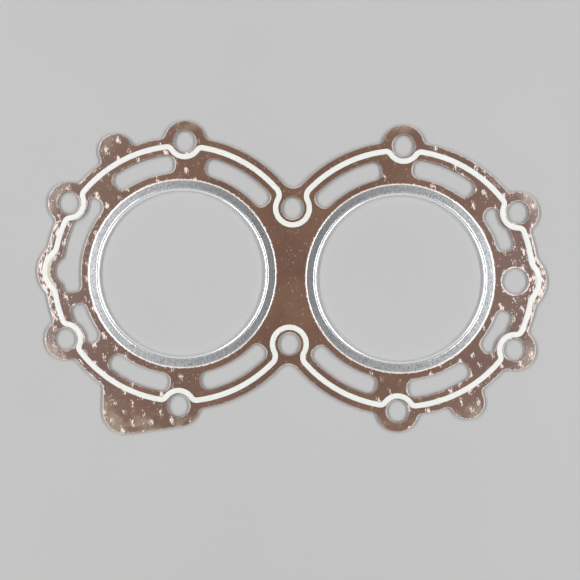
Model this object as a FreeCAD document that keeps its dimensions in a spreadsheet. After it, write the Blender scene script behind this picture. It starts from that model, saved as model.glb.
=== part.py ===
import FreeCAD, Part
import math
import os
import Sketcher

os.makedirs("parts", exist_ok=True)

# Cylinder head gasket for a twin: a die-cut coated sheet, a folded steel fire ring in each bore,
# and a printed sealing bead on either face.
# Origin midway between the bores on the plane it rests on, X along the row of bores, Z up.

doc = FreeCAD.newDocument("cylinder_head_gasket")
sheet = doc.addObject("Spreadsheet::Sheet", "sizes")


class Size:
    """A value together with the sheet expression it comes from."""

    def __init__(self, value, text):
        self.value = float(value)
        self.text = text

    def joined(self, sign, other, value, flipped=False):
        text = other.text if isinstance(other, Size) else repr(other)
        first, second = (text, self.text) if flipped else (self.text, text)
        return Size(value, "(%s %s %s)" % (first, sign, second))

    def __add__(self, other):
        return self.joined("+", other, self.value + plain(other))

    def __sub__(self, other):
        return self.joined("-", other, self.value - plain(other))

    def __mul__(self, other):
        return self.joined("*", other, self.value * plain(other))

    def __truediv__(self, other):
        return self.joined("/", other, self.value / plain(other))

    def __neg__(self):
        return self.joined("*", -1, -self.value)


def plain(size):
    return size.value if isinstance(size, Size) else float(size)


rows = []


def size(alias, value, note, formula=None):
    """Put one dimension in the sheet and return it."""
    row = len(rows) + 1
    rows.append(alias)
    sheet.set("A%d" % row, note)
    sheet.set("B%d" % row, formula or str(value))
    sheet.setAlias("B%d" % row, alias)
    return Size(value, "sizes.%s" % alias)


def follows(alias, amount, note):
    """Put a dimension that follows from others in the sheet, as a formula."""
    return size(alias, amount.value, note, "=" + amount.text.replace("sizes.", ""))


def rise(radius, angle):
    """How far a point at this radius and angle lies from the row."""
    height = radius.value * math.sin(math.radians(angle.value))
    return Size(height, "%s * sin(%s * 1 deg)" % (radius.text, angle.text))


def run(radius, angle):
    """How far along the row a point at this radius and angle lies from the centre."""
    length = radius.value * math.cos(math.radians(angle.value))
    return Size(length, "%s * cos(%s * 1 deg)" % (radius.text, angle.text))


def other_side(longest, side):
    """The second short side of a right-angled triangle."""
    length = math.sqrt(longest.value ** 2 - side.value ** 2)
    return Size(length, "sqrt(%s^2 - %s^2)" % (longest.text, side.text))


# Sheet and bead thicknesses, mm
body_thickness = size("body_thickness", 1.2, "coated sheet")
edge_roll = size("edge_roll", 0.45, "radius that the punch leaves along the upper edges")
bead_height = size("bead_height", 0.3, "sealing bead above the sheet")
bead_width = size("bead_width", 2.35, "sealing bead across")
overall = follows("overall", body_thickness + bead_height * 2, "over both beads")

# Fire rings
bore_diameter = size("bore_diameter", 71.5, "inside a fire ring")
ring_width = size("ring_width", 4.55, "fire ring, from its bore to its rim")
ring_gap = size("ring_gap", 13.0, "between the rims of the two fire rings")
strip = size("strip", 0.15, "steel strip")
ring_land = size("ring_land", 0.5, "straight inner wall, upright")
ring_crown = size("ring_crown", 0.55, "flat on top of the fold")
ring_valley = size("ring_valley", 0.25, "hollow between fold and flange, radius")
fold_clearance = size("fold_clearance", 0.15, "from the sheet to the inside of the fold")
ring_radius = follows("ring_radius", bore_diameter / 2 + ring_width, "rim of a fire ring")
bore_x = follows("bore_x", ring_radius + ring_gap / 2, "each bore from the middle")

# What lies round each fire ring, in order outwards, about the centre of a round web
web_shift = size("web_shift", 0.4, "web centre beyond its bore, along the row")
slot_land = size("slot_land", 3.2, "sheet from the ring's rim to a side slot")
slot_width = size("slot_width", 7.8, "side slot across")
bead_land = size("bead_land", 2.375, "sheet from a side slot to the bead")
edge_land = size("edge_land", 2.675, "sheet outside the bead")
web_x = follows("web_x", bore_x + web_shift, "each web centre from the middle")
slot_inner = follows("slot_inner", ring_radius + slot_land, "side slot, inner wall")
slot_outer = follows("slot_outer", slot_inner + slot_width, "side slot, outer wall")
bead_radius = follows("bead_radius", slot_outer + bead_land + bead_width / 2, "middle line of the bead")
web_radius = follows("web_radius", bead_radius + bead_width / 2 + edge_land, "outline round each web")

# Bolt holes
bolt_diameter = size("bolt_diameter", 9.5, "every bolt hole")
side_bolt_shift = size("side_bolt_shift", 0.2, "side bolts, from a web centre towards the middle")
side_bolt_inset = size("side_bolt_inset", 1.85, "side bolts, inside the web's outline")
end_bolt_inset = size("end_bolt_inset", 1.34, "end bolts, inside the web's outline")
end_bolt_angle = size("end_bolt_angle", 30.83, "end bolts, degrees from the row")
waist_bolt_inset = size("waist_bolt_inset", 5.7, "waist bolts, inside the crossing of the webs")
side_bolt_x = follows("side_bolt_x", web_x - side_bolt_shift, "side bolts from the middle")
side_bolt_y = follows("side_bolt_y", web_radius - side_bolt_inset, "side bolts from the row")
end_bolt_x = follows("end_bolt_x", run(web_radius - end_bolt_inset, end_bolt_angle) + web_x,
                     "end bolts from the middle")
end_bolt_y = follows("end_bolt_y", rise(web_radius - end_bolt_inset, end_bolt_angle),
                     "end bolts from the row")
waist_bolt_y = follows("waist_bolt_y", other_side(web_radius, web_x) - waist_bolt_inset,
                       "waist bolts from the row")

# Sealing bead where it leaves its circle
dip_land = size("dip_land", 0.675, "sheet from an outer bolt hole to the bead")
waist_dip_land = size("waist_dip_land", 1.325, "sheet from a waist bolt hole to the bead")
bead_bulge_land = size("bead_bulge_land", 3.125, "sheet from the round hole to the bead")
bead_end_step = size("bead_end_step", 1.25, "bead further out at the end with the round hole")
bead_corner = size("bead_corner", 2.5, "bead into a dip")
bead_waist_corner = size("bead_waist_corner", 4.0, "bead into a waist dip")
bead_bulge_blend = size("bead_bulge_blend", 4.0, "bead into an end bulge")
water_hole = size("water_hole", 11.4, "round coolant hole, diameter")
bead_dip = follows("bead_dip", bolt_diameter / 2 + dip_land + bead_width / 2,
                   "middle line round an outer bolt hole")
bead_waist_dip = follows("bead_waist_dip", bolt_diameter / 2 + waist_dip_land + bead_width / 2,
                         "middle line round a waist bolt hole")
bead_bulge = follows("bead_bulge", water_hole / 2 + bead_bulge_land + bead_width / 2,
                     "middle line round an end bulge")

# Outline beyond the webs
notch_radius = size("notch_radius", 5.4, "bottom of the waist notch")
ear_land = size("ear_land", 4.25, "sheet round an outer bolt hole")
ear_blend = size("ear_blend", 2.5, "hollow corner beside an ear, lobe, bulge or tab")
bulge_land = size("bulge_land", 2.225, "sheet outside the bead at an end bulge")
bulge_inset = size("bulge_inset", 9.9, "centre of an end bulge, inside the web's outline")
lobe_offset = size("lobe_offset", 1.4, "centre of a locating lobe, beyond the web's outline")
lobe_angle = size("lobe_angle", 60.5, "locating lobe, degrees from the row")
lobe_radius = size("lobe_radius", 7.4, "outline of a locating lobe")
tab_offset = size("tab_offset", 4.75, "centre of the tab's corner, beyond the web's outline")
tab_angle = size("tab_angle", 69.42, "corner tab, degrees from the row")
tab_radius = size("tab_radius", 10.3, "outline of the corner tab")
ear_radius = follows("ear_radius", bolt_diameter / 2 + ear_land, "outline round an outer bolt hole")
bulge_radius = follows("bulge_radius", bead_bulge + bead_width / 2 + bulge_land, "outline of an end bulge")
bulge_x = follows("bulge_x", web_x + web_radius - bulge_inset, "end bulges from the middle")
lobe_x = follows("lobe_x", run(web_radius + lobe_offset, lobe_angle) + web_x, "lobes from the middle")
lobe_y = follows("lobe_y", rise(web_radius + lobe_offset, lobe_angle), "lobes from the row")
tab_x = follows("tab_x", run(web_radius + tab_offset, tab_angle) + web_x, "tab from the middle")
tab_y = follows("tab_y", rise(web_radius + tab_offset, tab_angle), "tab from the row")

# Coolant slots, their ends in degrees from the row or from an end bolt
slot_corner = size("slot_corner", 3.3, "side slot, corner")
waist_slot_from = size("waist_slot_from", 40.4, "slot beside the waist, near end")
waist_slot_to = size("waist_slot_to", 78.5, "slot beside the waist, far end")
flank_slot_from = size("flank_slot_from", 94.6, "slot beyond the side bolt, near end")
flank_slot_to = size("flank_slot_to", 128.5, "slot beyond the side bolt, far end")
end_slot_land = size("end_slot_land", 3.0, "sheet from the ring's rim to an end slot")
short_slot_width = size("short_slot_width", 7.3, "short end slot across")
long_slot_width = size("long_slot_width", 8.3, "long end slot across")
end_slot_corner = size("end_slot_corner", 2.8, "end slot, corner near the row")
end_slot_past = size("end_slot_past", 4.67, "every end slot, centre of its round end past the bolt")
short_slot_before = size("short_slot_before", 14.83, "short slots beside the round hole, before the bolt")
odd_slot_before = size("odd_slot_before", 13.03, "short slot below the long one, before the bolt")
long_slot_below = size("long_slot_below", 11.0, "long end slot, how far it passes the row")
island_land = size("island_land", 0.625, "sheet outside the bead round an end bolt")
island_blend = size("island_blend", 2.0, "end slot, into the sheet round a bolt hole")
long_slot_lobe = size("long_slot_lobe", 11.5, "round lobe of the long end slot, across")
long_slot_lobe_shift = size("long_slot_lobe_shift", 0.4, "that lobe beyond the bulge's centre")
lobe_blend = size("lobe_blend", 2.0, "long end slot, into its round lobe")
end_slot_inner = follows("end_slot_inner", ring_radius + end_slot_land, "end slot, inner wall")
short_slot_outer = follows("short_slot_outer", end_slot_inner + short_slot_width,
                           "short end slot, outer wall")
long_slot_outer = follows("long_slot_outer", end_slot_inner + long_slot_width,
                          "long end slot, outer wall")
end_slot_to = follows("end_slot_to", end_bolt_angle + end_slot_past,
                      "every end slot, centre of its round end")
short_slot_from = follows("short_slot_from", end_bolt_angle - short_slot_before,
                          "short slots beside the round hole, near end")
odd_slot_from = follows("odd_slot_from", end_bolt_angle - odd_slot_before,
                        "short slot below the long one, near end")
island_radius = follows("island_radius", bead_dip + bead_width / 2 + island_land,
                        "sheet left round an end bolt hole")
long_slot_lobe_x = follows("long_slot_lobe_x", bulge_x + long_slot_lobe_shift,
                           "round lobe of the long end slot from the middle")

doc.recompute()

right, left = 1, -1
upper, lower = 1, -1
sharp_angle = math.radians(5)
same_place = 0.01


def new_body(name, height=None, along=None):
    """A body named after its sub-part, with its place bound to the sheet."""
    body = doc.addObject("PartDesign::Body", name)
    if height is not None:
        body.setExpression("Placement.Base.z", height.text)
    if along is not None:
        body.setExpression("Placement.Base.x", along.text)
    return body


def new_sketch(body, name, plane="XY_Plane"):
    sketch = body.newObject("Sketcher::SketchObject", name)
    feature = [item for item in body.Origin.OriginFeatures if item.Role == plane][0]
    sketch.AttachmentSupport = [(feature, "")]
    sketch.MapMode = "FlatFace"
    return sketch


def bind(sketch, kind, *places):
    """Add a dimension to the sketch and tie it to the sheet."""
    *geometry, amount = places
    index = sketch.addConstraint(Sketcher.Constraint(kind, *geometry, plain(amount)))
    if isinstance(amount, Size):
        sketch.setExpression("Constraints[%d]" % index, amount.text)


def place_centre(sketch, curve, x, y):
    bind(sketch, "DistanceX", -1, 1, curve, 3, x)
    bind(sketch, "DistanceY", -1, 1, curve, 3, y)


def circles(body, name, radius, centres):
    """A sketch of equal circles."""
    sketch = new_sketch(body, name)
    for x, y in centres:
        middle = FreeCAD.Vector(plain(x), plain(y), 0)
        circle = sketch.addGeometry(Part.Circle(middle, FreeCAD.Vector(0, 0, 1), plain(radius)))
        bind(sketch, "Radius", circle, radius)
        place_centre(sketch, circle, x, y)
    return sketch


def arc(centre_x, centre_y, radius, start, end):
    """An arc drawn counter-clockwise between two angles in degrees."""
    middle = FreeCAD.Vector(centre_x, centre_y, 0)
    circle = Part.Circle(middle, FreeCAD.Vector(0, 0, 1), radius)
    return Part.ArcOfCircle(circle, math.radians(start), math.radians(end))


def line(start, end):
    return Part.LineSegment(FreeCAD.Vector(*start, 0), FreeCAD.Vector(*end, 0))


def polar(centre_x, radius, angle):
    turned = math.radians(angle)
    return centre_x + radius * math.cos(turned), radius * math.sin(turned)


def sector(sketch, centre, inner, outer, start, end, round_end=None):
    """A closed piece of an annulus whose ends lie on rays from the centre.

    With round_end "start" or "end" that end is a half circle about its own ray.
    """
    x, low, high = [plain(item) for item in (centre, inner, outer)]
    first, last = plain(start), plain(end)
    join = Sketcher.Constraint
    near = sketch.addGeometry(arc(x, 0, low, first, last))
    far = sketch.addGeometry(arc(x, 0, high, first, last))
    sketch.addConstraint(join("Coincident", near, 3, far, 3))
    place_centre(sketch, near, centre, 0)
    bind(sketch, "Radius", near, inner)
    bind(sketch, "Radius", far, outer)
    for label, point, angle in (("start", 1, start), ("end", 2, end)):
        turn = plain(angle)
        if label == round_end:
            middle = (low + high) / 2
            opening = turn + 180 if label == "start" else turn
            cap = sketch.addGeometry(arc(*polar(x, middle, turn), (high - low) / 2,
                                         opening, opening + 180))
            inside, outside = (1, 2) if label == "start" else (2, 1)
            sketch.addConstraint([
                join("Tangent", near, point, cap, inside),
                join("Tangent", far, point, cap, outside),
            ])
            bind(sketch, "DistanceY", -1, 1, cap, 3, rise((inner + outer) / 2, angle))
            continue
        ray = sketch.addGeometry(line(polar(x, low, turn), polar(x, high, turn)))
        sketch.addConstraint([
            join("Coincident", near, point, ray, 1),
            join("Coincident", far, point, ray, 2),
            join("PointOnObject", near, 3, ray),
        ])
        index = sketch.addConstraint(join("Angle", ray, math.radians(turn)))
        sketch.setExpression("Constraints[%d]" % index, "%s * 1 deg" % angle.text)


def pad(body, sketch, name, length):
    feature = body.newObject("PartDesign::Pad", name)
    feature.Profile = sketch
    feature.setExpression("Length", length.text)
    sketch.Visibility = False
    doc.recompute()
    return feature


def cut(body, sketch, name):
    """Cut the sketch right through, upwards from the body's lower face."""
    before = body.Shape.Volume
    feature = body.newObject("PartDesign::Pocket", name)
    feature.Profile = sketch
    feature.Type = "ThroughAll"
    feature.Reversed = True
    sketch.Visibility = False
    doc.recompute()
    if not body.Shape.Volume < before:
        raise ValueError("%s removed nothing" % name)
    return feature


def sharp_uprights(shape, wanted=None):
    """Names of the upright edges where two walls meet at an angle."""
    names = []
    for number, edge in enumerate(shape.Edges, start=1):
        direction = edge.tangentAt(edge.FirstParameter)
        faces = shape.ancestorsOfType(edge, Part.Face)
        if edge.Curve.TypeId != "Part::GeomLine" or abs(direction.z) < 0.999 or len(faces) != 2:
            continue
        point = edge.valueAt((edge.FirstParameter + edge.LastParameter) / 2)
        normals = [face.normalAt(*face.Surface.parameter(point)) for face in faces]
        if normals[0].getAngle(normals[1]) > sharp_angle and (wanted is None or wanted(point)):
            names.append("Edge%d" % number)
    return names


def fillet(body, name, radius, wanted=None):
    """Round the sharp upright edges of a body."""
    base = body.Tip
    feature = body.newObject("PartDesign::Fillet", name)
    feature.Base = (base, sharp_uprights(base.Shape, wanted))
    feature.setExpression("Radius", radius.text)
    base.Visibility = False
    doc.recompute()
    return feature


def on_circles(radius, centres):
    """A test for points on any of these equal circles."""
    def test(point):
        reach = [math.hypot(point.x - plain(x), point.y - plain(y)) for x, y in centres]
        return any(abs(distance - plain(radius)) < same_place for distance in reach)
    return test


side_bolts = [(side_bolt_x * end, side_bolt_y * side)
              for end in (left, right) for side in (upper, lower)]
end_bolts = [(end_bolt_x * end, end_bolt_y * side)
             for end in (left, right) for side in (upper, lower)]
waist_bolts = [(0, waist_bolt_y * side) for side in (upper, lower)]
bulges = [(bulge_x * end, 0) for end in (left, right)]

# Gasket body: outline
gasket_body = new_body("gasket_body", bead_height)
for label, end in (("left", left), ("right", right)):
    outline = circles(gasket_body, "web_outline_" + label, web_radius, [(web_x * end, 0)])
    pad(gasket_body, outline, "web_" + label, body_thickness)
fillet(gasket_body, "waist_notches", notch_radius)
pad(gasket_body, circles(gasket_body, "ear_outlines", ear_radius, side_bolts + end_bolts),
    "bolt_ears", body_thickness)
pad(gasket_body, circles(gasket_body, "bulge_outlines", bulge_radius, bulges),
    "end_bulges", body_thickness)
pad(gasket_body, circles(gasket_body, "lobe_outlines", lobe_radius,
                         [(-lobe_x, lobe_y), (lobe_x, -lobe_y)]),
    "locating_lobes", body_thickness)


def tab_outline(body, name):
    """The corner tab: a round corner, then a straight run into the ear of the nearest bolt."""
    sketch = new_sketch(body, name)
    ear_x, ear_y = -side_bolt_x, -side_bolt_y
    corner = (-plain(tab_x), -plain(tab_y))
    ear = (plain(ear_x), plain(ear_y))
    apart = math.hypot(ear[0] - corner[0], ear[1] - corner[1])
    lean = math.atan2(ear[1] - corner[1], ear[0] - corner[0])
    dip = math.acos((plain(tab_radius) - plain(ear_radius)) / apart)
    touch = math.degrees(lean - dip) + 360
    inside = -plain(web_radius) * 2 / 3
    outer_side = corner[0] - plain(tab_radius)
    inner_side = ear[0] + plain(ear_radius)
    on_corner = (corner[0] + plain(tab_radius) * math.cos(math.radians(touch)),
                 corner[1] + plain(tab_radius) * math.sin(math.radians(touch)))
    on_ear = (ear[0] + plain(ear_radius) * math.cos(math.radians(touch)),
              ear[1] + plain(ear_radius) * math.sin(math.radians(touch)))
    side = sketch.addGeometry(line((outer_side, inside), (outer_side, corner[1])))
    round_corner = sketch.addGeometry(arc(*corner, plain(tab_radius), 180, touch))
    bottom = sketch.addGeometry(line(on_corner, on_ear))
    round_ear = sketch.addGeometry(arc(*ear, plain(ear_radius), touch, 360))
    back = sketch.addGeometry(line((inner_side, ear[1]), (inner_side, inside)))
    top = sketch.addGeometry(line((inner_side, inside), (outer_side, inside)))
    join = Sketcher.Constraint
    sketch.addConstraint([
        join("Vertical", side),
        join("Tangent", side, 2, round_corner, 1),
        join("Tangent", round_corner, 2, bottom, 1),
        join("Tangent", bottom, 2, round_ear, 1),
        join("Tangent", round_ear, 2, back, 1),
        join("Vertical", back),
        join("Coincident", back, 2, top, 1),
        join("Coincident", top, 2, side, 1),
        join("Horizontal", top),
    ])
    place_centre(sketch, round_corner, -tab_x, -tab_y)
    place_centre(sketch, round_ear, ear_x, ear_y)
    bind(sketch, "Radius", round_corner, tab_radius)
    bind(sketch, "Radius", round_ear, ear_radius)
    bind(sketch, "DistanceY", -1, 1, top, 1, web_radius * -2 / 3)
    return sketch


pad(gasket_body, tab_outline(gasket_body, "tab_outline"), "corner_tab", body_thickness)
fillet(gasket_body, "outline_blends", ear_blend)

# Gasket body: coolant openings
side_slots = new_sketch(gasket_body, "side_slot_outlines")
for start, end in ((waist_slot_from, waist_slot_to), (flank_slot_from, flank_slot_to)):
    sector(side_slots, -web_x, slot_inner, slot_outer, start, end)
    sector(side_slots, -web_x, slot_inner, slot_outer, -end, -start)
    sector(side_slots, web_x, slot_inner, slot_outer, -end + 180, -start + 180)
    sector(side_slots, web_x, slot_inner, slot_outer, start + 180, end + 180)
cut(gasket_body, side_slots, "side_slots")
fillet(gasket_body, "side_slot_corners", slot_corner)

end_slots = new_sketch(gasket_body, "end_slot_outlines")
sector(end_slots, web_x, end_slot_inner, short_slot_outer,
       short_slot_from, end_slot_to, "end")
sector(end_slots, web_x, end_slot_inner, short_slot_outer,
       -end_slot_to, -short_slot_from, "start")
sector(end_slots, -web_x, end_slot_inner, short_slot_outer,
       odd_slot_from + 180, end_slot_to + 180, "end")
sector(end_slots, -web_x, end_slot_inner, long_slot_outer,
       -end_slot_to + 180, long_slot_below + 180, "start")
cut(gasket_body, end_slots, "end_slots")
cut(gasket_body, circles(gasket_body, "long_slot_lobe_outline", long_slot_lobe / 2,
                         [(-long_slot_lobe_x, 0)]),
    "long_slot_lobe")
pad(gasket_body, circles(gasket_body, "island_outlines", island_radius, end_bolts),
    "bolt_islands", body_thickness)
fillet(gasket_body, "island_blends", island_blend, on_circles(island_radius, end_bolts))
fillet(gasket_body, "long_slot_lobe_blends", lobe_blend,
       on_circles(long_slot_lobe / 2, [(-long_slot_lobe_x, 0)]))
fillet(gasket_body, "end_slot_corners", end_slot_corner)

# Gasket body: holes, rolled edges and bores
cut(gasket_body, circles(gasket_body, "water_hole_outline", water_hole / 2, bulges[1:]),
    "water_hole")
cut(gasket_body, circles(gasket_body, "bolt_hole_outlines", bolt_diameter / 2,
                         side_bolts + end_bolts + waist_bolts),
    "bolt_holes")

rolled = gasket_body.newObject("PartDesign::Fillet", "rolled_edges")
blank = doc.getObject("bolt_holes")
top_face = max(range(len(blank.Shape.Faces)), key=lambda n: blank.Shape.Faces[n].CenterOfMass.z)
rolled.Base = (blank, ["Face%d" % (top_face + 1)])
rolled.setExpression("Radius", edge_roll.text)
blank.Visibility = False
doc.recompute()

fold_radius = (overall - ring_land) / 2
valley_lift = body_thickness / 2 + strip + ring_valley - ring_land / 2
valley_reach = math.sqrt((plain(fold_radius) + plain(ring_valley)) ** 2 - plain(valley_lift) ** 2)
fold_width = Size(valley_reach, "sqrt((%s + %s)^2 - (%s)^2)" % (
    fold_radius.text, ring_valley.text, valley_lift.text)) + fold_radius + ring_crown
sheet_bore = bore_diameter / 2 + fold_width + fold_clearance
cut(gasket_body, circles(gasket_body, "bore_outlines", sheet_bore,
                         [(bore_x * end, 0) for end in (left, right)]),
    "bores")


# Sealing beads
def bead_region(name, grow, below, above):
    """All that lies inside the bead's middle line, grown or shrunk by half its width."""
    body = new_body(name, bead_height + body_thickness - below)
    thickness = bead_height + below + above
    for label, end in (("left", left), ("right", right)):
        outline = circles(body, "%s_web_outline_%s" % (name, label), bead_radius + grow,
                          [(web_x * end, 0)])
        pad(body, outline, "%s_web_%s" % (name, label), thickness)
    wide_end = new_sketch(body, name + "_wide_end_outline")
    sector(wide_end, web_x, bead_radius - bead_dip, bead_radius + bead_end_step + grow,
           -end_bolt_angle, end_bolt_angle)
    pad(body, wide_end, name + "_wide_end", thickness)
    cut(body, circles(body, name + "_dip_outlines", bead_dip - grow, side_bolts + end_bolts),
        name + "_dips")
    cut(body, circles(body, name + "_waist_dip_outlines", bead_waist_dip - grow, waist_bolts),
        name + "_waist_dips")
    fillet(body, name + "_waist_corners", bead_waist_corner + grow,
           on_circles(bead_waist_dip - grow, waist_bolts))
    fillet(body, name + "_corners", bead_corner + grow)
    pad(body, circles(body, name + "_bulge_outlines", bead_bulge + grow, bulges),
        name + "_bulges", thickness)
    fillet(body, name + "_bulge_blends", bead_bulge_blend - grow)
    return body


no_extra = bead_height * 0
bead_top = doc.addObject("Part::Cut", "sealing_bead_top")
bead_top.Base = bead_region("bead_outside", bead_width / 2, no_extra, no_extra)
bead_top.Tool = bead_region("bead_inside", -bead_width / 2, bead_height, bead_height)
doc.recompute()

bead_bottom = doc.addObject("Part::Mirroring", "sealing_bead_bottom")
bead_bottom.Source = bead_top
bead_bottom.Normal = (0, 0, 1)
bead_bottom.setExpression("Base.z", (overall / 2).text)
doc.recompute()


# Fire rings
def fold_section(body, name, inset, reach):
    """Upper half of the folded strip: bore wall, fold, hollow and flange, down to mid height."""
    sketch = new_sketch(body, name, "XZ_Plane")
    radius = fold_radius - inset
    valley = ring_valley + inset
    wall_x = bore_diameter / 2 + inset
    level = body_thickness / 2 + strip - inset
    land = plain(ring_land) / 2
    fold_x = plain(wall_x) + plain(radius)
    crown_x = fold_x + plain(ring_crown)
    valley_x = crown_x + valley_reach
    valley_y = plain(level) + plain(valley)
    meet = math.degrees(math.atan2(valley_y - land, valley_reach))
    meeting = (crown_x + plain(radius) * math.cos(math.radians(meet)),
               land + plain(radius) * math.sin(math.radians(meet)))
    crown_y = land + plain(radius)
    wall = sketch.addGeometry(line((plain(wall_x), 0), (plain(wall_x), land)))
    fold = sketch.addGeometry(arc(fold_x, land, plain(radius), 90, 180))
    crown = sketch.addGeometry(line((fold_x, crown_y), (crown_x, crown_y)))
    shoulder = sketch.addGeometry(arc(crown_x, land, plain(radius), meet, 90))
    hollow = sketch.addGeometry(arc(valley_x, valley_y, plain(valley), meet + 180, 270))
    flange = sketch.addGeometry(line((valley_x, plain(level)), (plain(reach), plain(level))))
    rim = sketch.addGeometry(line((plain(reach), plain(level)), (plain(reach), 0)))
    base = sketch.addGeometry(line((plain(reach), 0), (plain(wall_x), 0)))
    join = Sketcher.Constraint
    sketch.addConstraint([
        join("Vertical", wall),
        join("Tangent", wall, 2, fold, 2),
        join("Tangent", fold, 1, crown, 1),
        join("Tangent", crown, 2, shoulder, 2),
        join("Tangent", shoulder, 1, hollow, 1),
        join("Tangent", hollow, 2, flange, 1),
        join("Coincident", flange, 2, rim, 1),
        join("Coincident", rim, 2, base, 1),
        join("Coincident", base, 2, wall, 1),
        join("Horizontal", crown),
        join("Horizontal", flange),
        join("Vertical", rim),
        join("Horizontal", base),
    ])
    bind(sketch, "DistanceY", -1, 1, base, 1, 0)
    bind(sketch, "DistanceX", -1, 1, wall, 1, wall_x)
    bind(sketch, "DistanceY", -1, 1, fold, 3, ring_land / 2)
    bind(sketch, "Radius", fold, radius)
    bind(sketch, "DistanceX", crown, 1, crown, 2, ring_crown)
    bind(sketch, "DistanceY", -1, 1, shoulder, 3, ring_land / 2)
    bind(sketch, "Radius", hollow, valley)
    bind(sketch, "DistanceY", -1, 1, flange, 1, level)
    bind(sketch, "DistanceX", -1, 1, flange, 2, reach)
    return sketch


def fire_ring(name, end):
    body = new_body(name, overall / 2, bore_x * end)
    outside = fold_section(body, name + "_outside", Size(0, "0"), ring_radius)
    fold = body.newObject("PartDesign::Revolution", name + "_fold")
    fold.Profile = outside
    fold.ReferenceAxis = (outside, ["V_Axis"])
    fold.Angle = 360
    doc.recompute()
    whole = body.Shape.Volume
    inside = fold_section(body, name + "_inside", strip, ring_radius + fold_width)
    hollow = body.newObject("PartDesign::Groove", name + "_hollow")
    hollow.Profile = inside
    hollow.ReferenceAxis = (inside, ["V_Axis"])
    hollow.Angle = 360
    doc.recompute()
    if not body.Shape.Volume < whole:
        raise ValueError("%s stayed solid" % name)
    mirrored = body.newObject("PartDesign::Mirrored", name + "_lower_half")
    mirrored.Originals = [fold, hollow]
    mirrored.MirrorPlane = ([item for item in body.Origin.OriginFeatures
                             if item.Role == "XY_Plane"][0], [""])
    body.Tip = mirrored
    for item in (outside, inside):
        item.Visibility = False
    doc.recompute()
    return body


ring_left = fire_ring("fire_ring_left", left)
ring_right = fire_ring("fire_ring_right", right)

# Check every object, then write each sub-part
for item in doc.Objects:
    faults = [state for state in item.State if state in ("Invalid", "Error")]
    if faults:
        raise ValueError("%s: %s" % (item.Name, faults))

for item in (gasket_body, ring_left, ring_right, bead_top, bead_bottom):
    item.Label = item.Name
    if item.Shape.isNull() or not item.Shape.isValid():
        raise ValueError("%s has no valid shape" % item.Label)
    item.Shape.exportStep("parts/%s.step" % item.Label)
    print(item.Label, len(item.Shape.Solids), "solid", round(item.Shape.Volume, 2), "mm3")
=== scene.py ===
import math

import bmesh
import bpy
from mathutils import Matrix, Vector


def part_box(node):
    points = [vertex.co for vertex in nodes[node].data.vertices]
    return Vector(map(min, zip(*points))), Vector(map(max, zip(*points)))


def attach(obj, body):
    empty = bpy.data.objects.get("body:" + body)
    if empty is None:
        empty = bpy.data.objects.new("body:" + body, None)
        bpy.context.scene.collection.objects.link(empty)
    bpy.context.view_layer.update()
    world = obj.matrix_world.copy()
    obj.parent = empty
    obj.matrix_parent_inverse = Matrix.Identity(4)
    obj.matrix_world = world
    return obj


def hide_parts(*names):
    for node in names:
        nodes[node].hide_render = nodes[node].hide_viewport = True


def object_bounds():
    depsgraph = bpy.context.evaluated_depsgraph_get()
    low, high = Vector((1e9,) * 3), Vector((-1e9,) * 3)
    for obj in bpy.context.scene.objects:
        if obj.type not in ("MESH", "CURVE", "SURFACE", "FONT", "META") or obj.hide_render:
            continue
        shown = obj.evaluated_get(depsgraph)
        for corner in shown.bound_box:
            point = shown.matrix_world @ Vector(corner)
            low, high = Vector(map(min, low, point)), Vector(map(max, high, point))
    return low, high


# A cylinder head gasket seen from above: its coated sheet, folded steel fire rings and printed beads.
# Lengths are millimetres unless a name ends in _m; MM turns them into the frame's metres.
# The row is the line through both bores, along x, with the middle of the gasket at zero.

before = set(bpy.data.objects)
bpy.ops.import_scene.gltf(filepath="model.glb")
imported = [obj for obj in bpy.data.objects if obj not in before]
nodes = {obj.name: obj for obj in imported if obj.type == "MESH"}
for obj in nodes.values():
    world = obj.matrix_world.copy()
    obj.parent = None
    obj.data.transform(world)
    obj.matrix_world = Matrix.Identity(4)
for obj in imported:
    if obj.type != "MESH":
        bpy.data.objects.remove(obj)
cad_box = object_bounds()

MM = 0.001
BODY = "root"
WHITE = (1, 1, 1, 1)

# From the frame: the sheet's faces, and the fire rings' rim and distance from the middle
sheet_low, sheet_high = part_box("gasket_body")
SHEET_BOTTOM = sheet_low.z / MM
SHEET_TOP = sheet_high.z / MM
MID_HEIGHT = (SHEET_BOTTOM + SHEET_TOP) / 2
ring_low, ring_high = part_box("fire_ring_right")
RING_X = (ring_low.x + ring_high.x) / 2 / MM
FLANGE_RADIUS = (ring_high.x - ring_low.x) / 2 / MM

# The round webs of the sheet are a little further apart than the rings
WEB_SHIFT = 0.4
WEB_X = RING_X + WEB_SHIFT

# Fire rings: the folded strip's section, measured from mid height, with angles in degrees
BORE_RADIUS = 35.75
STRIP = 0.15
FOLD_LAND = 0.25
FOLD_RADIUS = 0.65
CROWN = 0.55
CROWN_TURN = 40
VALLEY = 0.25
LIP_WIDTH = 0.32
LIP_DROP = 0.12
RING_SEGMENTS = 480
FOLD_STEPS = 8
BEND_STEPS = 6
RING_SHARP = 50

# Printed beads: steps across, how square their section is, and the angle from which an edge is sharp
BEAD_STEPS = 14
BEAD_SQUARENESS = 3.2
BEAD_SHARP = 60

# How exactly a mesh's flat face is found: its normal, its height and where its corners meet
FLAT_NORMAL = 0.99
SAME_HEIGHT_m = 1e-6
SAME_PLACE_m = 1e-7

# Tang points: the core's burrs, which lift the coating in a staggered lattice
TANG_PITCH_X = 8.5
TANG_PITCH_Y = 4.0
TANG_WIDE = 1.15
TANG_TALL = 1.9
TANG_LEAN = 0.22
TANG_HEIGHT = 0.05

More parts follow.
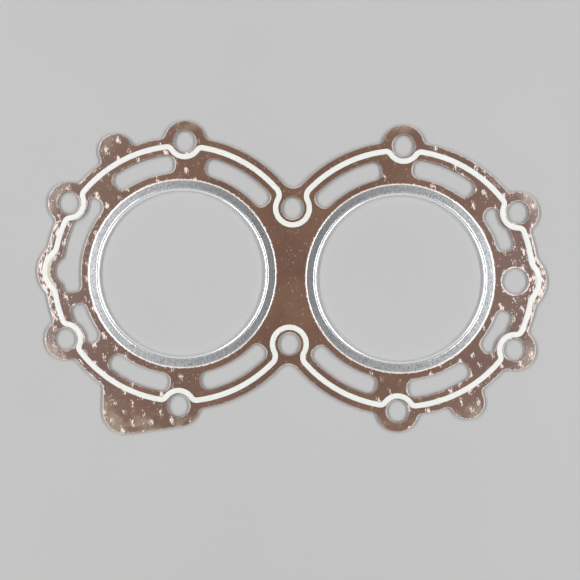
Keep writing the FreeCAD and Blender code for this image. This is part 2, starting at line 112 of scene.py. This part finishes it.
# Relief of the coating, the steel and the beads
CURL_HEIGHT = 0.8
WAVE_HEIGHT = 0.2
PEEL_HEIGHT = 0.012
GRAIN_HEIGHT = 0.004
STEEL_HEIGHT = 0.013
BEAD_HEIGHT = 0.02

# Places on the sheet where wear differs, and over which distance from them it fades
TAB_CENTRE = (-64, -60)
TAB_FADE = (14, 30)
EAR_CENTRE = (96.5, 29.4)
EAR_FADE = (7.5, 10.5)
LOBE_CENTRE = (76.8, -52.3)
LOBE_FADE = (7.0, 10.0)
BULGE_CENTRE = (-96, 0)
BULGE_FADE = (9.8, 10.4)
SMEAR_FADE = (7.5, 7.8)
SMEAR_END = (-101.4, -100.6)
WATER_HOLE_CENTRE = (96, 0)
WATER_HOLE_RADIUS = 5.7

# How far in from a cut the coating is nibbled, and how wide the bright line along it, rubbed coating with a
# painted highlight, may be
NIBBLE_REACH = 0.9
HIGHLIGHT_LINE_REACH = 0.6

# Bright edges: outside the flange and the water hole, and on the flange from its rim and from the bore,
# where the steel is lighter, partly a polish and partly a painted highlight
PRESSED_FADE = (0.25, 0.5)
HOLE_FADE = (0.5, 0.75)
LIP_FADE = (0.25, 0.4)
FOLD_FADE = (0.75, 1.0)

# Where each kind of wear and of painted highlight sets in and where it is full, from the middle along the
# row
HIGHLIGHT_LINE_RANGE = (5, 70)
FAINT_RANGE = (12, 40)
POINT_WEAR_AND_GLINT_RANGE = (26, 78)
NIBBLE_RANGE = (26, 84)
SPECK_RANGE = (40, 90)
RIM_RANGE = (56, 86)
PURPLE_RANGE = (60, 100)
END_RANGE = (78, 102)
SOILED_RANGE = (88, 104)

# The same from the centre of the nearer web: the outer edge, the painted sheen on it and its curl
OUTER_RANGE = (54, 58)
PAINTED_SHEEN_RANGE = (59, 66)
CURL_RANGE = (59, 71)

# Colours of the sheet
COAT_DEEP = (0.142, 0.074, 0.050)
COAT_WARM = (0.182, 0.098, 0.062)
COAT_MOTTLE = (0.098, 0.052, 0.038)
COAT_PURPLE = (0.150, 0.088, 0.076)
# Painted sheen: a pale olive tint on the outer rims that stands in for light caught there
PAINTED_SHEEN = (0.40, 0.32, 0.23)
# Pale pinks of rubbed coating, also used for painted highlights on the points and along outward-facing edges
BARE_FACE_AND_GLINT = (0.86, 0.735, 0.69)
BARE_EDGE_AND_HIGHLIGHT = (0.90, 0.83, 0.78)
SMEAR = (0.66, 0.61, 0.52)
CUT_DARK = (0.045, 0.031, 0.026)
CUT_LIGHT = (0.105, 0.075, 0.06)

# Colours of the rings, the beads and the floor
ZINC_DARK = (0.26, 0.268, 0.278)
ZINC_LIGHT = (0.70, 0.715, 0.735)
# Lighter steel of the fold and lip: partly polish, partly painted highlight
ZINC_POLISHED_HIGHLIGHT = (0.84, 0.85, 0.855)
BEAD_DULL = (0.75, 0.762, 0.725)
BEAD_WHITE = (0.82, 0.832, 0.80)
BEAD_SOILED = (0.62, 0.50, 0.45)
FLOOR_DULL = (0.55, 0.555, 0.55)
FLOOR_PALE = (0.58, 0.585, 0.58)

# Background and floor: its level, where the floor fades to it, and how close the floor lets light through
PALE_LEVEL = 0.68
FLOOR_FADE = (180, 650)
FLOOR_OPEN = 2.0
FLOOR_HALF = 4000
FLOOR_GAP = 0.02

# Light on the part from above and below, and the two softboxes, which mirror each other, in watts
ABOVE_LEVEL = 0.176
BELOW_LEVEL = 1.0
SOFTBOX_PLACE = (480, 20, 490)
SOFTBOX_WIDE = 180
SOFTBOX_LONG = 900
SOFTBOX_POWER = 3.75

# What the steel mirrors: pale all round, with a dark patch overhead, its edge and lean in degrees
MIRRORED_LEVEL = 0.76
PATCH_LEVEL = 0.13
PATCH_EDGE = 18
PATCH_LEAN = 3.5
HORIZON_BLUR = 0.02

# Camera: nearly straight down, the gasket turned a little clockwise and a little above the middle
VIEW_WIDTH = 248.8
VIEW_DISTANCE = 300.0
VIEW_CENTRE = (-0.26, -5.98)
VIEW_TURN = 1.32
VIEW_LEAN = 0.67
SENSOR = 36.0
NEAREST_m = 0.01
FURTHEST_m = 20


class Tree:
    """Short ways to add nodes to a node tree. Where a value is meant, a socket or a number will do."""

    def __init__(self, tree):
        self.nodes = tree.nodes
        self.links = tree.links
        self.nodes.clear()

    def node(self, kind, inputs, **settings):
        made = self.nodes.new(kind)
        for name, value in settings.items():
            setattr(made, name, value)
        for key, value in inputs.items():
            if isinstance(value, bpy.types.NodeSocket):
                self.links.new(value, made.inputs[key])
            else:
                made.inputs[key].default_value = value
        return made

    def math(self, operation, *values):
        return self.node("ShaderNodeMath", dict(enumerate(values)), operation=operation).outputs[0]

    def vector(self, operation, *values, **named):
        inputs = dict(enumerate(values))
        inputs.update(named)
        return self.node("ShaderNodeVectorMath", inputs, operation=operation).outputs[0]

    def measure(self, operation, *vectors):
        """A number taken from vectors, such as their DISTANCE."""
        made = self.node("ShaderNodeVectorMath", dict(enumerate(vectors)), operation=operation)
        return made.outputs["Value"]

    def joined(self, x=0.0, y=0.0, z=0.0):
        return self.node("ShaderNodeCombineXYZ", {"X": x, "Y": y, "Z": z}).outputs[0]

    def split(self, place):
        return self.node("ShaderNodeSeparateXYZ", {"Vector": place}).outputs

    def step(self, value, low, high):
        """0 below low, 1 above high and smooth between."""
        inputs = {"Value": value, "From Min": low, "From Max": high}
        return self.node("ShaderNodeMapRange", inputs, interpolation_type="SMOOTHSTEP").outputs[0]

    def drop(self, value, low, high):
        """1 below low, 0 above high and smooth between."""
        return self.math("SUBTRACT", 1.0, self.step(value, low, high))

    def span(self, value, low, high):
        """Bring a 0 to 1 value to the range from low to high."""
        return self.node("ShaderNodeMapRange", {"Value": value, "To Min": low, "To Max": high}).outputs[0]

    def total(self, first, *others):
        for other in others:
            first = self.math("ADD", first, other)
        return first

    def highest(self, first, *others):
        for other in others:
            first = self.math("MAXIMUM", first, other)
        return first

    def product(self, first, *others):
        for other in others:
            first = self.math("MULTIPLY", first, other)
        return first

    def choose(self, factor, usual, other):
        """The usual shader where factor is 0 and the other where it is 1."""
        return self.node("ShaderNodeMixShader", {0: factor, 1: usual, 2: other}).outputs[0]


class Look(Tree):
    """One material, laid out in millimetres on the part."""

    def __init__(self, name):
        self.material = bpy.data.materials.new(name)
        self.material.use_nodes = True
        super().__init__(self.material.node_tree)
        place = self.node("ShaderNodeTexCoord", {}).outputs["Object"]
        self.mm = self.vector("SCALE", place, Scale=1 / MM)
        self.x, self.y = self.split(self.mm)[:2]
        self.flat = self.vector("MULTIPLY", self.mm, (1, 1, 0))
        self.reach = self.math("ABSOLUTE", self.x)

    def noise(self, size, detail=3.0, roughness=0.5, place=None):
        """A cloudy value about 0.5 whose blots are about size mm across."""
        inputs = {"Vector": place or self.mm, "Scale": 1 / size, "Detail": detail, "Roughness": roughness}
        return self.node("ShaderNodeTexNoise", inputs).outputs["Fac"]

    def cells(self, place, size, randomness=1.0, **settings):
        """Voronoi cells about size across: the distance to their points, the points and two chances each."""
        inputs = {"Vector": place, "Scale": 1 / size, "Randomness": randomness}
        made = self.node("ShaderNodeTexVoronoi", inputs, **settings).outputs
        chances = self.node("ShaderNodeSeparateColor", {"Color": made["Color"]}).outputs
        return made["Distance"], made["Position"], chances[0], chances[1]

    def mix(self, factor, first, second):
        """The first colour where factor is 0 and the second where it is 1."""
        made = self.node("ShaderNodeMix", {"Factor": factor}, data_type="RGBA")
        for socket, value in ((made.inputs[6], first), (made.inputs[7], second)):
            if isinstance(value, bpy.types.NodeSocket):
                self.links.new(value, socket)
            else:
                socket.default_value = (*value, 1)
        return made.outputs[2]

    def from_pair(self, x):
        """Distance from the nearer of the two points at plus and minus x on the row."""
        return self.measure("LENGTH", self.joined(self.math("SUBTRACT", self.reach, x), self.y))

    def from_place(self, x, y, place=None):
        """Distance from a point on the sheet."""
        return self.measure("DISTANCE", place or self.flat, (x, y, 0))

    def swept(self, x, across, along):
        """Coordinates that run round the nearer of the points at plus and minus x, for streaks."""
        turn = self.math("ARCTAN2", self.y, self.math("SUBTRACT", self.reach, x))
        return self.joined(self.product(self.from_pair(x), 1 / across), self.product(turn, x / along),
                           self.math("SIGN", self.x))

    def bump(self, height, lift, below=None):
        """Relief of lift mm for a height of 1."""
        inputs = {"Height": height, "Distance": lift * MM, "Strength": 1.0}
        if below:
            inputs["Normal"] = below
        return self.node("ShaderNodeBump", inputs).outputs[0]

    def shade(self, **inputs):
        """Close the tree with the shader's own inputs, underscores standing for spaces."""
        named = {key.replace("_", " "): value for key, value in inputs.items()}
        shader = self.node("ShaderNodeBsdfPrincipled", named)
        self.node("ShaderNodeOutputMaterial", {"Surface": shader.outputs[0]})
        return self.material


class SheetLook(Look):
    """Glossy brown coating, pinkish where it is rubbed, dull at the cut, with highlights on outward-facing
    edges and over the points and a sheen on the outer rims painted into its colour.
    """

    def __init__(self):
        super().__init__("coated_sheet_look")
        normal = self.node("ShaderNodeNewGeometry", {}).outputs["Normal"]
        self.upright = self.math("ABSOLUTE", self.split(normal)[2])
        self.not_cut = self.step(self.upright, 0.2, 0.4)
        self.away = self.vector("NORMALIZE", self.vector("MULTIPLY", self.mm, (1, 0.4, 0)))
        self.ragged = self.step(self.noise(1.6, 4, 0.7), 0.36, 0.54)
        self.outer = self.step(self.from_pair(WEB_X), *OUTER_RANGE)
        self.near_point, self.chance, self.size = self.tang_points()

    def tang_points(self):
        """The lattice of points: 1 over each and 0 beside it, and two chances for each."""
        across = self.product(self.x, 1 / TANG_PITCH_X)
        down = self.product(self.y, 0.5 / TANG_PITCH_Y)
        lattice = self.joined(self.total(across, down), self.math("SUBTRACT", across, down))
        _, centre, chance, size = self.cells(lattice, 1.0, randomness=0.3, voronoi_dimensions="2D")
        u, v = self.split(self.vector("SUBTRACT", lattice, centre))[:2]
        tall = self.product(self.math("SUBTRACT", u, v), TANG_PITCH_Y)
        wide = self.product(self.total(u, v), TANG_PITCH_X / 2)
        wide = self.total(wide, self.product(tall, TANG_LEAN))
        place = self.joined(self.product(wide, 1 / TANG_WIDE), self.product(tall, 1 / TANG_TALL))
        return self.math("SUBTRACT", 1.0, self.measure("LENGTH", place)), chance, size

    def from_cut(self, reach, normal=None):
        """How far off a cut is, seen from inside the sheet: 1 from reach mm on, and less towards it.

        With a leaning normal only the cuts against that lean count.
        """
        inputs = {"Distance": reach * MM}
        if normal:
            inputs["Normal"] = normal
        made = self.node("ShaderNodeAmbientOcclusion", inputs, samples=6, inside=True, only_local=True)
        return made.outputs["AO"]

    def brown(self):
        """The coating's own colour: it drifts, is mottled and turns purplish at the ends; a sheen is painted
        on the outer rims.
        """
        drift = self.step(self.noise(26, 2), 0.35, 0.65)
        brown = self.mix(drift, COAT_DEEP, COAT_WARM)
        mottle = self.step(self.noise(1.1, 4, 0.6), 0.3, 0.75)
        brown = self.mix(self.product(mottle, 0.3), brown, COAT_MOTTLE)
        brown = self.mix(self.product(self.step(self.reach, *PURPLE_RANGE), 0.6), brown, COAT_PURPLE)
        # Painted sheen on the outer rims, patchy, mixed into the colour
        painted_sheen = self.product(self.step(self.from_pair(WEB_X), *PAINTED_SHEEN_RANGE),
                             self.step(self.noise(7, 2), 0.4, 0.62), 0.5)
        return self.mix(painted_sheen, brown, PAINTED_SHEEN)

    def rolled_edge_wear_and_highlight(self):
        """Bright where a cut that faces outwards is rolled over: rubbed coating with a painted highlight."""
        normal = self.node("ShaderNodeTexCoord", {}).outputs["Normal"]
        # Painted highlight: only cuts facing away from the middle get the bright line
        highlight_side = self.step(self.measure("DOT_PRODUCT", normal, self.away), 0.0, 0.6)
        return self.product(self.drop(self.upright, 0.985, 0.999), self.not_cut,
                            self.span(self.ragged, 0.5, 1.0), self.span(highlight_side, 0.2, 1.0))

    def edge_line_wear_and_highlight(self):
        """The same line on the face beside the cut, of uneven width: rubbed coating with a painted
        highlight.
        """
        inwards = self.vector("SCALE", self.away, Scale=-1.0)
        leaning = self.vector("NORMALIZE", self.vector("ADD", inwards, (0, 0, 0.6)))
        uneven = self.span(self.noise(0.8, 3, 0.7), -0.3, 0.3)
        return self.product(self.drop(self.total(self.from_cut(HIGHLIGHT_LINE_REACH, leaning), uneven), 0.45, 0.6),
                            self.step(self.upright, 0.9, 0.97), self.span(self.ragged, 0.35, 1.0),
                            self.span(self.step(self.reach, *HIGHLIGHT_LINE_RANGE), 0.35, 0.9))

    def worn_points_and_glints(self):
        """Torn spots over the points, bright towards the ends and on the tab, and faint elsewhere; the
        bright ones are partly worn coating and partly painted highlights of the points.
        """
        share = self.highest(self.product(self.step(self.reach, *POINT_WEAR_AND_GLINT_RANGE), 0.97),
                             self.product(self.drop(self.from_place(*TAB_CENTRE), *TAB_FADE), 0.95))
        chosen_points = self.step(self.math("SUBTRACT", share, self.chance), 0.0, 0.04)
        strokes = self.noise(1, 4, 0.7, self.vector("MULTIPLY", self.mm, (1 / 0.5, 1 / 1.4, 1)))
        torn = self.total(self.product(self.near_point, 0.8), self.span(strokes, -3.0, 3.0))
        torn = self.math("SUBTRACT", torn, self.span(self.size, 0.2, 0.7))
        # Painted highlights of the points mixed with worn coating, strongest at the ends and the tab
        bright = self.product(self.step(torn, 0.0, 0.16), self.step(self.near_point, -0.15, 0.1), chosen_points)
        faint = self.product(self.step(torn, 0.3, 0.6), self.step(self.near_point, 0.1, 0.4),
                             self.step(self.reach, *FAINT_RANGE), 0.3)
        return self.highest(bright, faint)

    def streaks(self):
        """Scuffs that run round the far ends and the outer rims, fewer on the ears and lobes."""
        far_end = self.product(self.step(self.reach, *END_RANGE), self.span(self.outer, 0.74, 1.0))
        outer_rim = self.product(self.outer, self.step(self.reach, *RIM_RANGE), 0.85)
        quarter = self.vector("MULTIPLY", self.vector("ABSOLUTE", self.mm), (1, 1, 0))
        ear = self.drop(self.from_place(*EAR_CENTRE, quarter), *EAR_FADE)
        half_turned = self.vector("SCALE", self.flat, Scale=self.math("SIGN", self.x))
        lobe = self.drop(self.from_place(*LOBE_CENTRE, half_turned), *LOBE_FADE)
        spared = self.span(self.highest(ear, lobe), 1.0, 0.68)
        rubbed = self.product(self.highest(far_end, outer_rim), spared)
        streaks = self.noise(1, 5, 0.68, self.swept(WEB_X, 1.0, 2.4))
        over = self.math("SUBTRACT", streaks, self.span(rubbed, 0.86, 0.485))
        return self.product(self.step(over, 0.0, 0.035), self.step(rubbed, 0.0, 0.2))

    def nibbled_edge(self):
        """Patches along the cuts where the coating has come off."""
        uneven = self.span(self.noise(0.9, 4, 0.7), -0.45, 0.45)
        return self.product(self.drop(self.total(self.from_cut(NIBBLE_REACH), uneven), 0.72, 0.80),
                            self.step(self.reach, *NIBBLE_RANGE), self.step(self.noise(5, 2), 0.4, 0.56),
                            self.not_cut)

    def specks(self):
        """Small chips, in patches that grow denser towards the ends."""
        distance, _, chance, _ = self.cells(self.vector("MULTIPLY", self.mm, (1, 0.6, 1)), 0.95)
        patches = self.product(self.step(self.noise(7, 2), 0.36, 0.54),
                               self.span(self.step(self.reach, *SPECK_RANGE), 0.4, 0.8))
        return self.product(self.drop(distance, 0.1, 0.3), self.step(chance, 0.35, 0.9), patches)

    def ring_rim(self):
        """The uneven bright line where the flange is pressed into the coating."""
        uneven = self.span(self.noise(0.7, 4, 0.7), -0.9, 0.9)
        from_rim = self.total(self.from_pair(RING_X), -FLANGE_RADIUS, uneven)
        return self.product(self.drop(from_rim, *PRESSED_FADE), 0.9)

    def hole_rim(self):
        """The bare rim round the water hole."""
        from_hole = self.math("SUBTRACT", self.from_place(*WATER_HOLE_CENTRE), WATER_HOLE_RADIUS)
        uneven = self.span(self.ragged, 0.7, 0.0)
        return self.product(self.drop(self.total(from_hole, uneven), *HOLE_FADE), self.not_cut)

    def left_bulge(self):
        """How plain the sheet is inside the bead's left bulge, and the bead's smear there."""
        from_bulge = self.from_place(*BULGE_CENTRE)
        inside = self.drop(from_bulge, *BULGE_FADE)
        uneven = self.span(self.noise(1.4, 4, 0.7), -2.4, 2.4)
        smear = self.product(self.step(self.total(from_bulge, uneven), *SMEAR_FADE), inside,
                             self.drop(self.math("SUBTRACT", self.x, uneven), *SMEAR_END), 0.9)
        return self.span(inside, 1.0, 0.12), smear

    def relief(self):
        """Curled outer edge, long waves, orange peel, points and fine grain, each laid on the last."""
        curl = self.bump(self.drop(self.from_pair(WEB_X), *CURL_RANGE), CURL_HEIGHT)
        waves = self.bump(self.noise(13, 1), WAVE_HEIGHT, curl)
        peel = self.bump(self.noise(1.4), PEEL_HEIGHT, waves)
        points = self.bump(self.step(self.near_point, -0.3, 1.0), TANG_HEIGHT, peel)
        return self.bump(self.noise(0.3, 2), GRAIN_HEIGHT, points)

    def finished(self):
        plain, smear = self.left_bulge()
        edge_wear_and_highlight = self.highest(self.ring_rim(), self.rolled_edge_wear_and_highlight(), self.edge_line_wear_and_highlight())
        scuffed = self.product(self.highest(self.streaks(), self.nibbled_edge()), plain)
        rubbed_and_highlit = self.highest(edge_wear_and_highlight, self.worn_points_and_glints(), scuffed, self.specks(), self.hole_rim())
        # Rubbed coating and painted highlights take the pale pinks
        colour = self.mix(rubbed_and_highlit, self.brown(), self.mix(edge_wear_and_highlight, BARE_FACE_AND_GLINT, BARE_EDGE_AND_HIGHLIGHT))
        colour = self.mix(smear, colour, SMEAR)
        cut_face = self.drop(self.upright, 0.12, 0.35)
        colour = self.mix(cut_face, colour, self.mix(self.noise(0.5, 4, 0.7), CUT_DARK, CUT_LIGHT))
        gloss = self.span(self.noise(7), 0.22, 0.36)
        rough = self.total(gloss, self.product(self.total(rubbed_and_highlit, cut_face), 0.2))
        return self.shade(Base_Color=colour, Roughness=rough, Normal=self.relief(), Coat_Weight=0.3,
                          Coat_Roughness=0.16)


def ring_steel():
    """Zinc-coated strip: a grained flange with fine marks pressed across it, and a fold and lip of lighter,
    smoother steel, partly a polish and partly a painted highlight.
    """
    look = Look("ring_steel_look")
    radius = look.measure("LENGTH", look.flat)
    own = look.node("ShaderNodeObjectInfo", {}).outputs["Random"]
    depth = look.total(look.product(radius, 1 / 1.6), look.product(own, 50.0))
    round_bore = look.vector("SCALE", look.vector("NORMALIZE", look.flat), Scale=BORE_RADIUS / 0.7)
    marks = look.noise(1, 5, 0.75, look.vector("ADD", round_bore, look.joined(z=depth)))
    marks = look.step(marks, 0.36, 0.64)
    grain = look.step(look.noise(0.6, 3, 0.7), 0.34, 0.66)
    cloud = look.step(look.noise(6, 3, 0.6), 0.35, 0.65)
    tone = look.total(look.product(marks, 0.5), look.product(grain, 0.35), look.product(cloud, 0.15))

    flange = look.step(look.math("SUBTRACT", radius, BORE_RADIUS), *FOLD_FADE)
    lip = look.drop(look.math("SUBTRACT", FLANGE_RADIUS, radius), *LIP_FADE)
    # Fold and lip lighter and smoother: partly polish, partly painted highlight
    polished_and_highlit = look.highest(look.drop(flange, 0.0, 1.0), lip)
    colour = look.mix(polished_and_highlit, look.mix(tone, ZINC_DARK, ZINC_LIGHT), ZINC_POLISHED_HIGHLIGHT)
    rough = look.math("SUBTRACT", look.span(tone, 0.30, 0.22), look.product(polished_and_highlit, 0.08))
    height = look.product(look.total(marks, look.product(grain, 0.5)), flange)
    relief = look.bump(height, STEEL_HEIGHT)
    return look.shade(Base_Color=colour, Metallic=1.0, Roughness=rough, Normal=relief)


def printed_bead():
    """Matt white elastomer, a little soiled where the coating beside it is scuffed."""
    look = Look("printed_bead_look")
    white = look.mix(look.noise(5), BEAD_DULL, BEAD_WHITE)
    far_end = look.step(look.reach, *SOILED_RANGE)
    over = look.math("SUBTRACT", look.noise(1.7, 4, 0.65), look.span(far_end, 0.85, 0.66))
    colour = look.mix(look.product(look.step(over, 0.0, 0.05), 0.7), white, BEAD_SOILED)
    rough = look.span(look.noise(2.2), 0.42, 0.58)
    return look.shade(Base_Color=colour, Roughness=rough, Normal=look.bump(look.noise(1.2), BEAD_HEIGHT))


def pale_floor():
    """Plain floor, as pale as the background far out.

    It is clear from below and to light that starts right over it, so that the underside can be seen.
    """
    look = Look("pale_floor_look")
    clouds = look.mix(look.noise(90, 2), FLOOR_DULL, FLOOR_PALE)
    floor = look.node("ShaderNodeBsdfDiffuse", {"Color": clouds, "Roughness": 0.6}).outputs[0]
    path = look.node("ShaderNodeLightPath", {}).outputs
    looked_at = look.highest(path["Is Camera Ray"], path["Is Glossy Ray"], path["Is Transmission Ray"])
    far = look.product(look.step(look.from_place(0, 0), *FLOOR_FADE), looked_at)
    horizon = look.node("ShaderNodeEmission", {"Color": WHITE, "Strength": PALE_LEVEL}).outputs[0]
    behind = look.node("ShaderNodeNewGeometry", {}).outputs["Backfacing"]
    close = look.math("LESS_THAN", path["Ray Length"], FLOOR_OPEN * MM)
    clear = look.node("ShaderNodeBsdfTransparent", {}).outputs[0]
    surface = look.choose(look.highest(behind, close), look.choose(far, floor, horizon), clear)
    look.node("ShaderNodeOutputMaterial", {"Surface": surface})
    return look.material


def wear(obj, material):
    """Give an object this material alone."""
    obj.data.materials.clear()
    obj.data.materials.append(material)
    return obj


def linked(name, data):
    """A new object in the scene."""
    obj = bpy.data.objects.new(name, data)
    bpy.context.scene.collection.objects.link(obj)
    return obj


def to_mesh(name, shape):
    """Turn a bmesh into mesh data and free it."""
    mesh = bpy.data.meshes.new(name)
    shape.normal_update()
    shape.to_mesh(mesh)
    shape.free()
    return mesh


def piece(name, shape, sharp, material, node, at=(0, 0, 0)):
    """Turn a bmesh into a piece that rides on the gasket in a node's stead."""
    bmesh.ops.recalc_face_normals(shape, faces=shape.faces)
    obj = linked(name, to_mesh(name, shape))
    obj.data.set_sharp_from_angle(angle=math.radians(sharp))
    obj.location = at
    wear(obj, material)
    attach(obj, BODY)
    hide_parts(node)


def arc(x, y, radius, start, end, steps):
    """Points along an arc, both ends included, angles in degrees."""
    turns = [math.radians(start + (end - start) * n / steps) for n in range(steps + 1)]
    return [(x + radius * math.cos(turn), y + radius * math.sin(turn)) for turn in turns]


def fold_half(inset):
    """Upper half of the strip's outline at this depth below its outer skin, bore wall first.

    The crown is a low dome, an arc that runs on smoothly from the fold to the shoulder.
    """
    radius = FOLD_RADIUS - inset
    valley = VALLEY + inset
    level = SHEET_TOP - MID_HEIGHT + STRIP - inset
    wall = BORE_RADIUS + inset
    turn = math.radians(CROWN_TURN)
    land = FOLD_LAND - CROWN / 2 * math.tan(turn / 2)
    fold_x = wall + radius
    dome_x = fold_x + CROWN / 2
    dome_y = land - CROWN / 2 / math.tan(turn)
    dome_radius = radius + CROWN / 2 / math.sin(turn)
    crown_x = fold_x + CROWN
    lift = level + valley - land
    valley_x = crown_x + math.sqrt((radius + valley) ** 2 - lift ** 2)
    meet = math.degrees(math.atan2(lift, valley_x - crown_x))
    rows = [(wall, 0.0)]
    rows += arc(fold_x, land, radius, 180, 90 + CROWN_TURN, FOLD_STEPS)
    rows += arc(dome_x, dome_y, dome_radius, 90 + CROWN_TURN, 90 - CROWN_TURN, BEND_STEPS)[1:]
    rows += arc(crown_x, land, radius, 90 - CROWN_TURN, meet, BEND_STEPS)[1:]
    rows += arc(valley_x, level + valley, valley, meet + 180, 270, BEND_STEPS)[1:]
    return rows, level


def ring_section(rim):
    """Closed outline of the folded strip, whose free edge is pressed down into the coating."""
    outer, level = fold_half(0.0)
    inner, floor = fold_half(STRIP)
    turns = [math.pi / 2 * n / BEND_STEPS for n in range(BEND_STEPS + 1)]
    lip = [(rim - LIP_WIDTH * (1 - math.sin(turn)), level - LIP_DROP * (1 - math.cos(turn)))
           for turn in turns]
    upper_skin = outer + lip
    upper_back = [(rim, floor)] + inner[::-1]
    lower_skin = [(x, -y) for x, y in upper_skin[:0:-1]]
    lower_back = [(x, -y) for x, y in upper_back[::-1][1:]]
    return lower_skin + upper_skin + upper_back + lower_back


def fire_ring(name, node, material):
    """The folded strip turned about its bore."""
    low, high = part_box(node)
    section = ring_section((high.x - low.x) / 2 / MM)
    made = bmesh.new()
    rows = []
    for n in range(RING_SEGMENTS):
        turn = Matrix.Rotation(2 * math.pi * n / RING_SEGMENTS, 3, "Z")
        rows.append([made.verts.new(turn @ Vector((x, 0, y)) * MM) for x, y in section])
    for one, two in zip(rows, rows[1:] + rows[:1]):
        for k in range(len(section)):
            after = (k + 1) % len(section)
            made.faces.new((one[k], two[k], two[after], one[after])).smooth = True
    piece(name, made, RING_SHARP, material, node, at=(low + high) / 2)


def rim_loops(mesh, height_m):
    """The closed rims of a mesh's flat face at this height, as lists of points."""
    work = bmesh.new()
    work.from_mesh(mesh)
    bmesh.ops.remove_doubles(work, verts=work.verts, dist=SAME_PLACE_m)
    work.normal_update()
    flat = {face for face in work.faces
            if abs(face.normal.z) > FLAT_NORMAL
            and abs(face.calc_center_median().z - height_m) < SAME_HEIGHT_m}
    open_edges = [edge for edge in work.edges if len(flat.intersection(edge.link_faces)) == 1]
    ways = {}
    for edge in open_edges:
        for vert in edge.verts:
            ways.setdefault(vert, []).append(edge.other_vert(vert))
    loops = []
    while ways:
        vert = next(iter(ways))
        loop, before = [], None
        while vert in ways:
            loop.append(vert.co.copy())
            ahead = [other for other in ways.pop(vert) if other != before and other in ways]
            before, vert = vert, ahead[0] if ahead else None
        loops.append(loop)
    work.free()
    return loops


def nearest_on(loop, point):
    """The closest point to this one along a closed run of points."""
    best, best_distance = None, math.inf
    for one, two in zip(loop, loop[1:] + loop[:1]):
        side = two - one
        share = max(0.0, min(1.0, (point - one).dot(side) / side.length_squared))
        near = one + side * share
        distance = (near - point).length
        if distance < best_distance:
            best, best_distance = near, distance
    return best


def printed_strip(name, node, face_m, crown_m, material):
    """The bead with the soft shoulders that printing leaves, between the rims of its own node."""
    rims = sorted(rim_loops(nodes[node].data, crown_m), key=len)[-2:]
    inner, outer = sorted(rims, key=lambda loop: max(point.length for point in loop))
    made = bmesh.new()
    rows = []
    for point in outer:
        other = nearest_on(inner, point)
        row = []
        for k in range(BEAD_STEPS + 1):
            across = math.cos(math.pi * k / BEAD_STEPS)
            height = (1 - abs(across) ** BEAD_SQUARENESS) ** (1 / BEAD_SQUARENESS)
            place = point.lerp(other, (1 - across) / 2)
            row.append(made.verts.new((place.x, place.y, face_m + (crown_m - face_m) * height)))
        rows.append(row)
    for one, two in zip(rows, rows[1:] + rows[:1]):
        for k in range(BEAD_STEPS):
            made.faces.new((one[k], one[k + 1], two[k + 1], two[k])).smooth = True
        made.faces.new((one[-1], one[0], two[0], two[-1]))
    piece(name, made, BEAD_SHARP, material, node)


def floor():
    made = bmesh.new()
    bmesh.ops.create_grid(made, x_segments=1, y_segments=1, size=FLOOR_HALF * MM)
    obj = linked("floor", to_mesh("floor", made))
    obj.location.z = cad_box[0].z - FLOOR_GAP * MM
    wear(obj, pale_floor())


def softbox(name, side):
    """A long lamp that faces the gasket from one side, -1 left and 1 right, out of the camera's sight."""
    light = bpy.data.lights.new(name, "AREA")
    light.shape = "RECTANGLE"
    light.size = SOFTBOX_LONG * MM
    light.size_y = SOFTBOX_WIDE * MM
    light.energy = SOFTBOX_POWER
    x, y, z = SOFTBOX_PLACE
    place = Vector((side * x, y, z)) * MM
    obj = linked(name, light)
    obj.visible_camera = False
    obj.location = place
    obj.rotation_euler = (-place).to_track_quat("-Z", "Y").to_euler()


def surroundings():
    """Even light from above and below, which looks pale. The steel mirrors a dark patch in it overhead."""
    world = bpy.data.worlds.new("studio")
    bpy.context.scene.world = world
    world.use_nodes = True
    sky = Tree(world.node_tree)
    way = sky.node("ShaderNodeTexCoord", {}).outputs["Generated"]
    path = sky.node("ShaderNodeLightPath", {}).outputs

    def background(level):
        return sky.node("ShaderNodeBackground", {"Color": WHITE, "Strength": level}).outputs[0]

    def towards(*direction):
        return sky.measure("DOT_PRODUCT", way, direction)

    lean = math.radians(PATCH_LEAN)
    patch = sky.step(towards(0, math.sin(lean), math.cos(lean)), math.cos(math.radians(PATCH_EDGE)), 1.0)
    under = sky.step(towards(0, 0, -1), 0.0, HORIZON_BLUR)
    lit = sky.choose(under, background(ABOVE_LEVEL), background(BELOW_LEVEL))
    mirrored = sky.choose(patch, background(MIRRORED_LEVEL), background(PATCH_LEVEL))
    lit = sky.choose(path["Is Glossy Ray"], lit, mirrored)
    seen = sky.highest(path["Is Camera Ray"], path["Is Transmission Ray"])
    sky.node("ShaderNodeOutputWorld", {"Surface": sky.choose(seen, lit, background(PALE_LEVEL))})


def camera():
    data = bpy.data.cameras.new("camera")
    data.sensor_width = SENSOR
    data.lens = SENSOR * VIEW_DISTANCE / VIEW_WIDTH
    data.clip_start = NEAREST_m
    data.clip_end = FURTHEST_m
    turn = Matrix.Rotation(math.radians(VIEW_TURN), 4, "Z")
    lean = Matrix.Rotation(math.radians(VIEW_LEAN), 4, "Y")
    away = Matrix.Translation((0, 0, VIEW_DISTANCE * MM))
    target = Matrix.Translation((VIEW_CENTRE[0] * MM, VIEW_CENTRE[1] * MM, SHEET_TOP * MM))
    obj = linked("camera", data)
    obj.matrix_world = target @ turn @ lean @ away
    bpy.context.scene.camera = obj


# Pieces
sheet_look = SheetLook().finished()
ring_look = ring_steel()
bead_look = printed_bead()
wear(nodes["gasket_body"], sheet_look)
fire_ring("fire_ring_left_folded", "fire_ring_left", ring_look)
fire_ring("fire_ring_right_folded", "fire_ring_right", ring_look)
printed_strip("sealing_bead_top_printed", "sealing_bead_top", sheet_high.z, cad_box[1].z, bead_look)
printed_strip("sealing_bead_bottom_printed", "sealing_bead_bottom", sheet_low.z, cad_box[0].z, bead_look)

# Stage
floor()
surroundings()
softbox("left_softbox", -1)
softbox("right_softbox", 1)
camera()
bpy.context.scene.view_settings.view_transform = "Standard"
